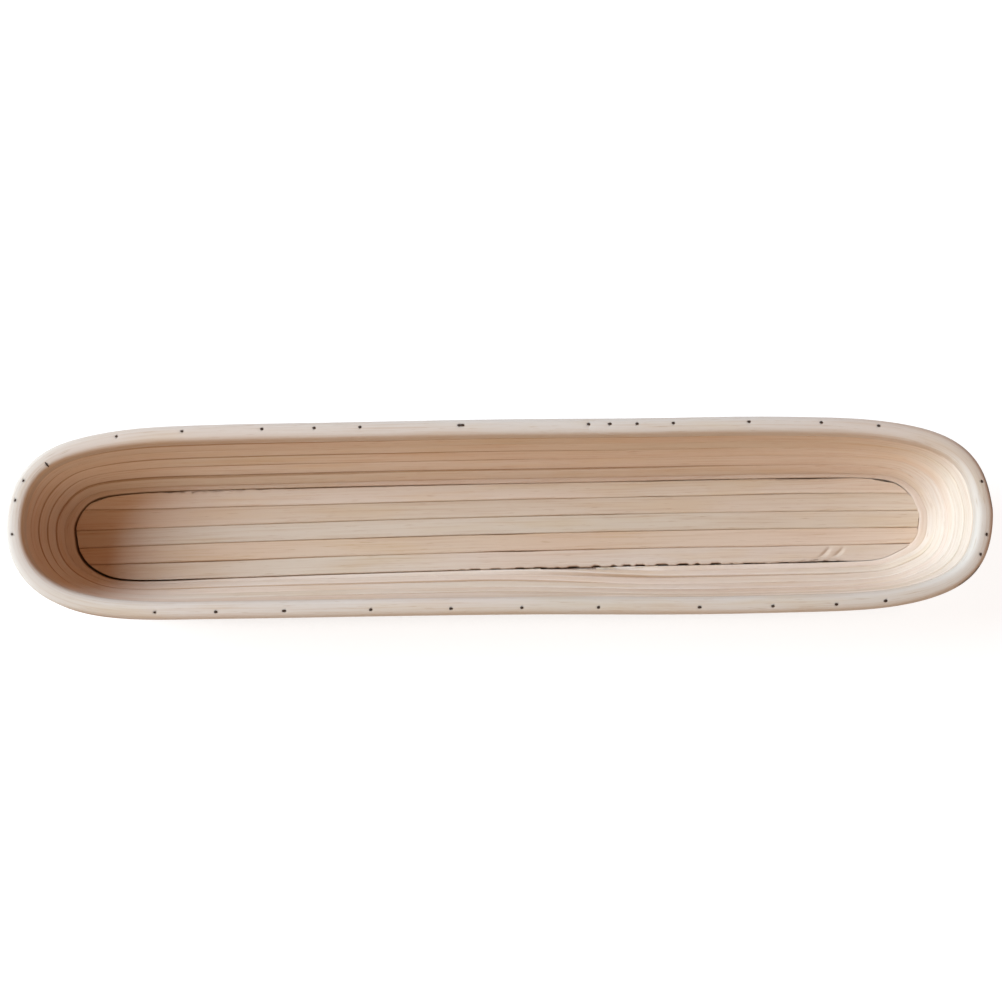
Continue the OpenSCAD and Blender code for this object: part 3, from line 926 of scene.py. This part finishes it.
def driven(station, way, proud):
    """Where a nail's head stands that is driven into a cane's section against a way out of it."""
    across, up = station.across.normalized(), station.up.normalized()
    turned = Matrix((across, up.cross(across), up)).transposed().to_4x4()
    top = station.middle + station.across * way.x + station.up * way.y
    outward = (across * way.x + up * way.y).normalized()
    tipped = Matrix.Rotation(math.atan2(way.x, way.y), 4, "Y")
    return Matrix.Translation(top + outward * proud) @ turned @ tipped


def side_rows(sizes, share, spacing):
    """Places of nails along a straight side, counted from its middle."""
    _, straight = half_floor(sizes)
    count = math.ceil(straight / spacing)
    rows = [(i + share) * spacing for i in range(-count, count + 1)]
    return [x for x in rows if abs(x) < straight - sizes.nail_head]


def foot_nail_spots(sizes, winding):
    """The first turn is nailed to the floor from outside."""
    width, _ = half_floor(sizes)
    rows = side_rows(sizes, FOOT_NAIL_SHARE, FOOT_NAIL_SPACING)
    places = [Vector((x, side * width, 0, side)) for side in (-1, 1) for x in rows]
    places += [end_place(sizes, math.radians(angle), end) for end in (-1, 1) for angle in FOOT_NAIL_ANGLES]
    return [driven(winding.station(place, 0, 0.0), Vector((1, 0)), NAIL_PROUD) for place in places]


def wall_nail_spots(sizes, winding, level):
    """Every turn is nailed to the one below, clear of the climb, before the next turn covers it."""
    width, _ = half_floor(sizes)
    share, angles = WALL_NAILS[level % 2]
    clear = sizes.ramp_length / 2 + sizes.nail_head
    places = [
        Vector((x, side * width, 0, side))
        for side in (-1, 1)
        for x in side_rows(sizes, share, NAIL_SPACING)
        if side == 1 or abs(x - sizes.ramp_middle) > clear
    ]
    places += [end_place(sizes, math.radians(angle), end) for end in (-1, 1) for angle in angles]
    return [driven(winding.station(place, level, 0.0), Vector((0, WALL_NAIL_TOP)), 0.0) for place in places]


class BASKET_OT_nails(bpy.types.Operator):
    """Drives wire nails into the rim, the wall and the foot, and gives the hidden pins their steel"""

    bl_idname = "basket.nails"
    bl_label = "Drive Nails"

    def execute(self, context):
        sizes = context.scene.basket_sizes
        steel = wire_nail_steel(context.scene.basket_colours.nail)
        pattern = self.pattern(sizes)
        winding = Winding(sizes, WALL_SEED)
        groups = {}
        for level in range(1, WALL_TURNS):
            groups[f"wall_nails_{level}"] = wall_nail_spots(sizes, winding, level)
        groups |= {"rim_nails": rim_nail_spots(sizes), "foot_nails": foot_nail_spots(sizes, winding)}
        for name, spots in groups.items():
            bm = bmesh.new()
            for index, spot in enumerate(spots):
                start = len(bm.verts)
                bm.from_mesh(pattern)
                bm.verts.ensure_lookup_table()
                wider = HEAD_WIDER + HEAD_SPREAD * abs(drift(index, 0, WIDER_SEED, WIDER_DRIFT))
                tip = HEAD_TIP * drift(index, 0, HEAD_TIP_SEED, HEAD_TIP_DRIFT)
                shaped = spot @ Matrix.Rotation(tip, 4, "X") @ Matrix.Diagonal((1, wider, 1, 1))
                bmesh.ops.transform(bm, verts=bm.verts[start:], matrix=shaped)
            dress(bm, f"{name}_steel", steel, "nail_steel", name)
        bpy.data.meshes.remove(pattern)
        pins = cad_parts["floor_pins"]
        pins.data.materials.clear()
        pins.data.materials.append(steel)
        return {"FINISHED"}

    def pattern(self, sizes):
        """Turns one nail from its half outline, with the middle of its head at the origin."""
        bm = bmesh.new()
        verts = [bm.verts.new((x * sizes.nail_head / 2, 0, z * sizes.nail_head / 2)) for x, z in NAIL_OUTLINE]
        edges = [bm.edges.new(pair) for pair in zip(verts, verts[1:])]
        bmesh.ops.spin(
            bm,
            geom=verts + edges,
            cent=(0, 0, 0),
            axis=(0, 0, 1),
            angle=2 * math.pi,
            steps=NAIL_STEPS,
            use_merge=True,
        )
        bmesh.ops.remove_doubles(bm, verts=bm.verts, dist=NAIL_WELD)
        mesh = bpy.data.meshes.new("nail")
        bm.to_mesh(mesh)
        bm.free()
        return mesh


class BASKET_OT_frayed_fibres(bpy.types.Operator):
    """Lifts split fibres off the edge of the first turn, most of them on the near side"""

    bl_idname = "basket.frayed_fibres"
    bl_label = "Fray Joint"

    def execute(self, context):
        sizes = context.scene.basket_sizes
        half_width, _ = half_floor(sizes)
        chance = random.Random(FIBRE_SEED)
        bm = bmesh.new()
        for fraying in FRAYINGS:
            for _ in range(fraying.count):
                x = fraying.middle + fraying.spread * chance.uniform(-1, 1)
                off = half_width + sizes.cane_gap * chance.uniform(*FIBRE_FOOT)
                spot = laid(x, fraying.side * off, sizes)
                start = Vector((spot.x, spot.y, sizes.cane_size - FIBRE_SINK))
                stray = fraying.stray * chance.uniform(-1, 1)
                heading = Vector((chance.choice((-1, 1)), stray, chance.uniform(*FIBRE_RISE)))
                length = chance.uniform(*FIBRE_LENGTH) * MM
                radius = chance.uniform(*FIBRE_RADIUS) * MM
                self.lift(bm, start, heading.normalized(), length, radius)
        bmesh.ops.holes_fill(bm, edges=[e for e in bm.edges if e.is_boundary])
        bmesh.ops.rotate(bm, verts=bm.verts, matrix=Matrix.Rotation(sizes.floor_turn, 3, "Z"))
        dress(bm, "frayed_fibres_rattan", split_fibre(context.scene.basket_colours.fibre), "floor_rattan")
        return {"FINISHED"}

    def lift(self, bm, start, heading, length, radius):
        """Draws one fibre out of a small flat ring, thinner towards its tip and curling a little."""
        foot = Matrix.Translation(start) @ heading.to_track_quat("Z", "Y").to_matrix().to_4x4()
        ring = bmesh.ops.create_circle(bm, cap_ends=True, segments=FIBRE_SIDES, radius=radius, matrix=foot)
        face = ring["verts"][0].link_faces[0]
        curl = Vector((0, heading.y, FIBRE_DROOP)) * FIBRE_CURL
        for step in range(FIBRE_STEPS):
            face = bmesh.ops.extrude_discrete_faces(bm, faces=[face])["faces"][0]
            way = (heading - curl * step / FIBRE_STEPS) * length / FIBRE_STEPS
            bmesh.ops.translate(bm, verts=face.verts, vec=way)
            place = Matrix.Translation(-face.calc_center_median())
            bmesh.ops.scale(bm, verts=face.verts, vec=(1, FIBRE_TAPER, FIBRE_TAPER), space=place)


def direction(azimuth, elevation):
    """The way from the basket to a lamp or the camera, by its angle round from the right end and up."""
    level = math.cos(elevation)
    return Vector((math.cos(azimuth) * level, math.sin(azimuth) * level, math.sin(elevation)))


class BASKET_OT_stage(bpy.types.Operator):
    """Sets the camera, a white table, soft lamps on the left and the near side, and warm light all round"""

    bl_idname = "basket.stage"
    bl_label = "Set Stage"

    def execute(self, context):
        scene, stage = context.scene, context.scene.basket_stage
        scene.view_settings.view_transform = "Standard"
        self.place_camera(scene, stage)
        self.hang_lamp(scene, stage, "key")
        self.hang_lamp(scene, stage, "near")
        self.light_room(scene, stage)
        self.lay_table(scene)
        return {"FINISHED"}

    def place_camera(self, scene, stage):
        camera = bpy.data.objects.new("camera", bpy.data.cameras.new("camera"))
        scene.collection.objects.link(camera)
        camera.data.sensor_width = SENSOR_WIDTH
        camera.data.lens = stage.lens
        back = direction(stage.azimuth - math.pi / 2, stage.elevation)
        camera.location = Vector(stage.target) + back * stage.distance
        look = (-back).to_track_quat("-Z", "Y").to_matrix() @ Matrix.Rotation(stage.roll, 3, "Z")
        camera.rotation_euler = look.to_euler()
        scene.camera = camera

    def hang_lamp(self, scene, stage, name):
        azimuth, elevation, power, colour = (
            getattr(stage, f"{name}_{kind}") for kind in ("azimuth", "elevation", "power", "colour")
        )
        light = bpy.data.lights.new(name, "AREA")
        light.shape = "DISK"
        light.size = stage.lamp_width
        light.energy = power
        light.color = colour
        lamp = bpy.data.objects.new(name, light)
        scene.collection.objects.link(lamp)
        way = direction(azimuth, elevation)
        lamp.location = way * stage.lamp_distance
        lamp.rotation_euler = way.to_track_quat("Z", "Y").to_euler()

    def light_room(self, scene, stage):
        """Warm light all round, in a room that looks white."""
        world = bpy.data.worlds.new("room")
        scene.world = world
        world.use_nodes = True
        tree = world.node_tree
        tree.nodes.clear()
        room = add_node(
            tree, "ShaderNodeBackground", {"Color": (*stage.fill_colour, 1), "Strength": stage.fill_strength}
        )
        white = add_node(
            tree, "ShaderNodeBackground", {"Color": (*linear("#ffffff"), 1), "Strength": 1.0}
        )
        mixed = add_node(
            tree, "ShaderNodeMixShader", {0: self.seen(tree), 1: room.outputs[0], 2: white.outputs[0]}
        )
        add_node(tree, "ShaderNodeOutputWorld", {"Surface": mixed.outputs[0]})

    def seen(self, tree):
        """One for rays that the camera sends straight, by a mirror or through glass, and else nought."""
        path = add_node(tree, "ShaderNodeLightPath", {})
        seen = path.outputs["Is Camera Ray"]
        for name in ("Is Glossy Ray", "Is Transmission Ray"):
            either = {0: seen, 1: path.outputs[name]}
            seen = add_node(tree, "ShaderNodeMath", either, operation="MAXIMUM").outputs[0]
        return seen

    def lay_table(self, scene):
        """A white board that glows for the eye; occlusion dims the glow in the joints under the basket and
        round its foot, a painted shadow.
        """
        bm = bmesh.new()
        bmesh.ops.create_grid(bm, x_segments=1, y_segments=1, size=TABLE_HALF)
        mesh = bpy.data.meshes.new("table")
        bm.to_mesh(mesh)
        bm.free()
        table = bpy.data.objects.new("table", mesh)
        scene.collection.objects.link(table)
        material, tree = new_material("White board")
        matt = add_node(tree, "ShaderNodeBsdfDiffuse", {"Color": (*linear("#e1e1e1"), 1)})
        # Occlusion dims the glow near the basket: a painted shadow
        painted_shadow_occlusion = add_node(tree, "ShaderNodeAmbientOcclusion", {"Distance": GLOW_REACH}, samples=8)
        glow = add_node(
            tree,
            "ShaderNodeMapRange",
            {"Value": painted_shadow_occlusion.outputs["AO"], "From Min": 0.25, "From Max": 0.5, "To Max": 1.3},
        )
        white = add_node(
            tree, "ShaderNodeEmission", {"Color": (*linear("#ffffff"), 1), "Strength": glow.outputs[0]}
        )
        share = add_node(tree, "ShaderNodeMath", {0: self.seen(tree), 1: GLOW_SHARE}, operation="MULTIPLY")
        mixed = add_node(
            tree, "ShaderNodeMixShader", {0: share.outputs[0], 1: matt.outputs[0], 2: white.outputs[0]}
        )
        add_node(tree, "ShaderNodeOutputMaterial", {"Surface": mixed.outputs[0]})
        mesh.materials.append(material)


class BASKET_PT_builder(bpy.types.Panel):
    """Lists the steps of the basket and its sizes"""

    bl_idname = "BASKET_PT_builder"
    bl_label = "Proofing Basket"
    bl_space_type = "VIEW_3D"
    bl_region_type = "UI"
    bl_category = "Basket"

    def draw(self, context):
        for step in STEPS:
            self.layout.operator(step.bl_idname)
        for name in SETTINGS:
            group = getattr(context.scene, name)
            column = self.layout.column(heading=name)
            for key in group.__annotations__:
                column.prop(group, key)


STEPS = (
    BASKET_OT_stage,
    BASKET_OT_floor_canes,
    BASKET_OT_wall_coil,
    BASKET_OT_rim_hoop,
    BASKET_OT_nails,
    BASKET_OT_frayed_fibres,
)
SETTINGS = {"basket_sizes": BasketSizes, "basket_colours": BasketColours, "basket_stage": BasketStage}


def register():
    for item in (*SETTINGS.values(), *STEPS, BASKET_PT_builder):
        bpy.utils.register_class(item)
    for name, group in SETTINGS.items():
        setattr(bpy.types.Scene, name, PointerProperty(type=group))


def unregister():
    for name in SETTINGS:
        delattr(bpy.types.Scene, name)
    for item in (BASKET_PT_builder, *STEPS, *SETTINGS.values()):
        bpy.utils.unregister_class(item)


def main():
    register()
    bpy.ops.basket.stage()
    bpy.ops.basket.floor_canes()
    bpy.ops.basket.wall_coil()
    bpy.ops.basket.rim_hoop()
    bpy.ops.basket.nails()
    bpy.ops.basket.frayed_fibres()


if __name__ == "__main__":
    main()
